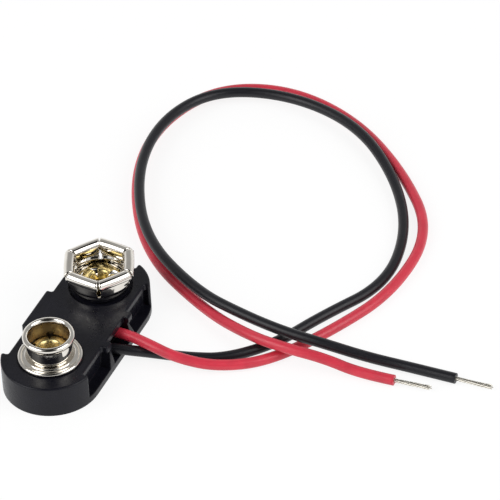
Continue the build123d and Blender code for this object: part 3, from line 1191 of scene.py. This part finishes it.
@dataclass
class Lead:
    """One insulated lead, with the twisted strands that stand out of its far end."""

    finishes: Finishes
    colour: str
    route: list[Place]
    insulation: Material
    stiffness: str = "limp"
    diameter: float = 1.2 * MM
    cut_middle: float = 0.45 * MM
    wall_foot: float = 0.25 * MM
    cut_depth: float = 0.22 * MM
    cut_round: float = 0.05 * MM
    rings: int = 420
    columns: int = 32
    bare_length: float = 4.3 * MM
    shortest: float = 0.90
    longest: float = 0.985
    strand_radius: float = 0.07 * MM
    strand_steps: int = 90
    strand_columns: int = 10
    ring_wires: int = 6
    ring_radius: float = 0.172 * MM
    twist: float = 2.5 * MM
    fray: float = 0.5
    tightest: float = -0.1
    unwinding: float = 0.35
    sway: float = 0.05 * MM
    hair: float = 0.001 * MM
    seed: int = 3

    def path(self) -> np.ndarray:
        """The points of the lead's own smooth spline, in order.

        Returns:
            One row of X, Y and Z for each point.
        """
        curve = bpy.data.curves.new(self.colour + " route", "CURVE")
        curve.dimensions = "3D"
        spline = curve.splines.new("NURBS")
        spline.points.add(len(self.route) - 1)
        weighted = np.column_stack((np.array(self.route), np.ones(len(self.route))))
        spline.points.foreach_set("co", weighted.ravel())
        spline.order_u = 3
        spline.use_endpoint_u = True
        spline.resolution_u = 16
        guide = bpy.data.objects.new(self.colour + " route", curve)
        bpy.context.scene.collection.objects.link(guide)
        bpy.context.view_layer.update()
        mesh = bpy.data.meshes.new_from_object(guide.evaluated_get(bpy.context.evaluated_depsgraph_get()))
        points = np.empty(len(mesh.vertices) * 3)
        mesh.vertices.foreach_get("co", points)
        points = points.reshape(-1, 3)
        steps = np.linalg.norm(np.diff(points, axis=0), axis=1)
        bpy.data.objects.remove(guide)
        bpy.data.curves.remove(curve)
        bpy.data.meshes.remove(mesh)
        return points[np.append(True, steps > SAME_PLACE)]

    def tube(self, path: np.ndarray) -> Piece:
        """The insulation: a circle carried along the path, cut square with a hollow end.

        At each end the circles shrink round the cut edge, cross the flat cut to the strands,
        and go back into the hollow a short way.

        Args:
            path: The points that it follows.

        Returns:
            The piece.
        """
        radius = self.diameter / 2
        length = marks_along(path)[-1]
        corner = np.radians(np.linspace(0, 90, 5))
        back = np.append(self.cut_round * (1 - np.sin(corner)), (0.0, 0.0, self.cut_depth))
        drawn_in = np.append(
            radius - self.cut_round * (1 - np.cos(corner)),
            (self.cut_middle, self.wall_foot, self.wall_foot),
        )
        middle = np.linspace(0, length, self.rings)[1:-1]
        stations = np.concatenate((back[::-1], middle, length - back))
        radii = np.concatenate((drawn_in[::-1], np.full(len(middle), radius), drawn_in))
        points = carried(path, stations, radii, self.columns)
        skin = close_ends(Skin.of_grid(points, False, True), len(stations), self.columns)
        return skin.build(self.colour + "_insulation_tube", [self.insulation], smooth_angle=40)

    def strands(self, path: np.ndarray) -> Piece:
        """The bare wires: six helices round a middle wire, looser towards their ends.

        Each wire's middle line goes round the bundle once in each twist, at the ring's radius
        times one plus its own share of the fray, which grows with the cube of the distance. It
        sways sideways with the square of the distance, and its end is rounded off.

        Args:
            path: The points of the insulation's path, which the bundle carries on from.

        Returns:
            The piece.
        """
        draw = np.random.default_rng(self.seed)
        end, along = path[-1], path[-1] - path[-2]
        along = along / np.linalg.norm(along)
        side = np.cross(along, (0, 0, 1))
        side /= np.linalg.norm(side)
        rise = np.cross(side, along)
        share = np.linspace(0, 1, self.strand_steps)
        plain = np.ones(self.strand_steps - len(TIP_WIDTHS) - 1)
        radii = self.strand_radius * np.concatenate(((FOOT_WIDTH,), plain, TIP_WIDTHS))
        skins = []
        for wire in range(self.ring_wires + 1):
            reach = self.bare_length * (1 if wire == 0 else draw.uniform(self.shortest, self.longest))
            distance = -self.cut_depth + share * (reach + self.cut_depth) - self.hair
            ring = 0 if wire == 0 else self.ring_radius
            loose = draw.uniform(self.tightest, 1) * self.fray
            radius = ring * (1 + loose * share ** 3)
            turns = wire / self.ring_wires + distance / self.twist
            angle = 2 * math.pi * turns + self.unwinding * loose * share
            sway = self.sway * share ** 2 * draw.uniform(-1, 1)
            line = (
                end
                + distance[:, None] * along
                + (radius * np.cos(angle) + sway)[:, None] * side
                + (radius * np.sin(angle))[:, None] * rise
            )
            stations = marks_along(line)
            stations[-len(TIP_PLACES):] = stations[-1] - self.strand_radius * np.array(TIP_PLACES)
            points = carried(line, stations, radii, self.strand_columns)
            wire_skin = Skin.of_grid(points, False, True)
            skins.append(close_ends(wire_skin, self.strand_steps, self.strand_columns))
        skin = Skin.joined(skins)
        return skin.build(self.colour + "_strands", [self.finishes.wire], smooth_angle=60)

    def build(self) -> None:
        path = self.path()
        tube = settle(self.tube(path), self.colour + "_insulation", self.colour + "_lead")
        strands = settle(self.strands(path), "tinned_copper", self.colour + "_bare_end")


# The studio


def toward(azimuth: float, lift: float) -> np.ndarray:
    """A direction of length one: the cosine of the lift goes round the floor, its sine goes up.

    Args:
        azimuth: The angle from X towards Y, in degrees.
        lift: The angle above the floor, in degrees.

    Returns:
        The direction.
    """
    turn, rise = math.radians(azimuth), math.radians(lift)
    return np.array((math.cos(rise) * math.cos(turn), math.cos(rise) * math.sin(turn), math.sin(rise)))


def stand(piece: Piece, axes: tuple[np.ndarray, np.ndarray, np.ndarray], place: np.ndarray) -> None:
    """Stands a camera or a lamp at a place, with its X, Y and Z along three axes.

    Args:
        piece: The camera or the lamp.
        axes: The three axes, each of length one.
        place: The place.
    """
    matrix = np.eye(4)
    matrix[:3, :3] = np.column_stack(axes)
    matrix[:3, 3] = place
    bpy.context.scene.collection.objects.link(piece)
    piece.matrix_world = Matrix(matrix.tolist())


@dataclass(frozen=True)
class SkyPatch:
    """A round patch of the sky whose level is the sky's own times a share.

    The edge is soft: it runs from the first to the second cosine of the angle to the middle.
    """

    middle: Place
    edge: Pair
    share: float


DARK_OVERHEAD = SkyPatch((0.0, 0.0, 1.0), (0.90, 0.92), 0.03)
BRIGHT_NEAR_SIDE = SkyPatch((-0.735, -0.358, 0.575), (0.50, 0.70), 2.2)
DARK_BEHIND_CAMERA = SkyPatch((-0.720, -0.351, 0.598), (0.855, 0.885), 0.02)


@dataclass
class Studio:
    """A pale floor, a dim room with a pale backdrop, two soft boxes and the camera.

    The bright near side and the dark patches are what the plated metal mirrors.
    """

    place: Place = (-0.3375, -0.1870, 0.33905)
    yaw: float = 26.10
    pitch: float = 40.28
    roll: float = -3.165
    lens: float = 336.38
    sensor: float = 36
    nearest: float = 0.01
    floor_half: float = 1.5
    floor_drop: float = 2e-5
    floor_colour: float = 0.9
    floor_roughness: float = 0.9
    floor_glow: float = 0.8
    glow_strength: float = 1.08
    room: float = 0.38
    backdrop: float = 0.95
    backdrop_middle: Place = (0.72, 0.35, -0.6)
    backdrop_edge: Pair = (0.28, 0.5)
    patches: tuple[SkyPatch, ...] = (DARK_OVERHEAD, BRIGHT_NEAR_SIDE, DARK_BEHIND_CAMERA)
    box_lift: float = 38
    box_distance: float = 0.5
    box_size: Pair = (0.32, 0.40)

    def camera(self) -> None:
        """Stands the camera where the photograph was taken from."""
        roll = math.radians(self.roll)
        ahead = toward(self.yaw, -self.pitch)
        right = np.cross(ahead, (0, 0, 1))
        right /= np.linalg.norm(right)
        rise = np.cross(right, ahead)
        side = math.cos(roll) * right + math.sin(roll) * rise
        up = -math.sin(roll) * right + math.cos(roll) * rise
        data = bpy.data.cameras.new("camera")
        data.lens, data.sensor_width, data.clip_start = self.lens, self.sensor, self.nearest
        camera = bpy.data.objects.new("camera", data)
        stand(camera, (side, up, -ahead), np.array(self.place))
        bpy.context.scene.camera = camera

    def floor(self) -> None:
        """Lays a pale floor that the camera and the metal see as white, and that keeps shadows."""
        half, drop = self.floor_half, -self.floor_drop
        mesh = bpy.data.meshes.new("floor")
        corners = [(-half, -half, drop), (half, -half, drop), (half, half, drop), (-half, half, drop)]
        mesh.from_pydata(corners, [], [(0, 1, 2, 3)])
        floor = bpy.data.objects.new("floor", mesh)
        bpy.context.scene.collection.objects.link(floor)
        desk = Desk("pale floor")
        pale = (self.floor_colour, self.floor_colour, self.floor_colour, 1)
        desk.set(Roughness=self.floor_roughness, Base_Color=pale)
        glow = desk.add("Emission", strength=self.glow_strength)
        sight = desk.add("LightPath")
        seen = desk.combine("MAXIMUM", sight.outputs["Is Camera Ray"], sight.outputs["Is Glossy Ray"])
        share = desk.spread(seen, 0, self.floor_glow, (0, 1))
        desk.cover(share, desk.shader.outputs[0], glow.outputs[0], "Material Output")
        mesh.materials.append(desk.material)

    def sky(self) -> None:
        """A dim room with a low pale backdrop and round patches, which the camera sees as white.

        How far a direction lies inside the backdrop or a patch is its dot product with the
        middle of it, and the levels of the patches are multiplied onto the room's.
        """
        world = bpy.data.worlds.new("sky")
        world.use_nodes = True
        bench = Bench(world.node_tree)
        direction = bench.add("TexCoord").outputs["Generated"]

        def inside(middle: Place) -> Socket:
            """The dot product of the direction with the middle of a part of the sky.

            Args:
                middle: The direction of the middle.

            Returns:
                The dot product.
            """
            node = bench.add("VectorMath", operation="DOT_PRODUCT")
            node.inputs[1].default_value = middle
            bench.link(direction, node.inputs[0])
            return node.outputs["Value"]

        level = bench.spread(inside(self.backdrop_middle), self.room, self.backdrop, self.backdrop_edge)
        for patch in self.patches:
            share = bench.spread(inside(patch.middle), 1, patch.share, patch.edge)
            level = bench.combine("MULTIPLY", level, share)
        room = bench.tree.nodes["Background"]
        room.inputs["Color"].default_value = WHITE
        bench.link(level, room.inputs["Strength"])
        bright = bench.add("Background", color=WHITE)
        seen = bench.add("LightPath").outputs["Is Camera Ray"]
        bench.cover(seen, room.outputs[0], bright.outputs[0], "World Output")
        bpy.context.scene.world = world

    def lamp(self, name: str, azimuth: float, power: float) -> None:
        """Hangs one soft box that faces the middle of the housing.

        Args:
            name: The name of the lamp.
            azimuth: The direction that it stands in, in degrees from X towards Y.
            power: Its power in watts.
        """
        away = toward(azimuth, self.box_lift)
        right = np.cross((0, 0, 1), away)
        right /= np.linalg.norm(right)
        data = bpy.data.lights.new(name, "AREA")
        data.shape = "RECTANGLE"
        data.size, data.size_y = self.box_size
        data.energy = power
        lamp = bpy.data.objects.new(name, data)
        stand(lamp, (right, np.cross(away, right), away), away * self.box_distance)

    def build(self) -> None:
        """Sets up the whole studio."""
        self.camera()
        self.floor()
        self.sky()
        self.lamp("left box", azimuth=138, power=1.1)
        self.lamp("right box", azimuth=-86, power=1.0)
        bpy.context.scene.view_settings.view_transform = "Standard"
        log.info("set up the studio")


def main() -> None:
    """Builds the studio and the connector, piece by piece."""
    logging.basicConfig(level=logging.INFO, format="%(message)s")
    Studio().build()
    finishes = Finishes()
    Housing(finishes).build()
    RoundStud(finishes).build()
    SpringSocket(finishes).build()
    Eyelet(
        finishes, "stud_eyelet", "stud_rivet", first_slit=25, petal_rise=0.9 * MM,
        crest_radius=1.4 * MM, crest_lift=-0.13 * MM, funnel=0.75 * MM,
        petal_radius=2.0 * MM, petal_drop=0.24 * MM, fork=0.36 * MM,
    ).build()
    Eyelet(
        finishes, "socket_eyelet", "socket_rivet", first_slit=48, petal_rise=1.1 * MM,
        crest_lift=0.08 * MM, petal_radius=2.02 * MM, petal_drop=0.12 * MM,
        fork_foot=0.24 * MM, fork=0.62 * MM, petals=4,
    ).build()
    Lead(finishes, "black", BLACK_ROUTE, finishes.black, seed=3).build()
    Lead(finishes, "red", RED_ROUTE, finishes.red, seed=8).build()


if __name__ == "__main__":
    main()
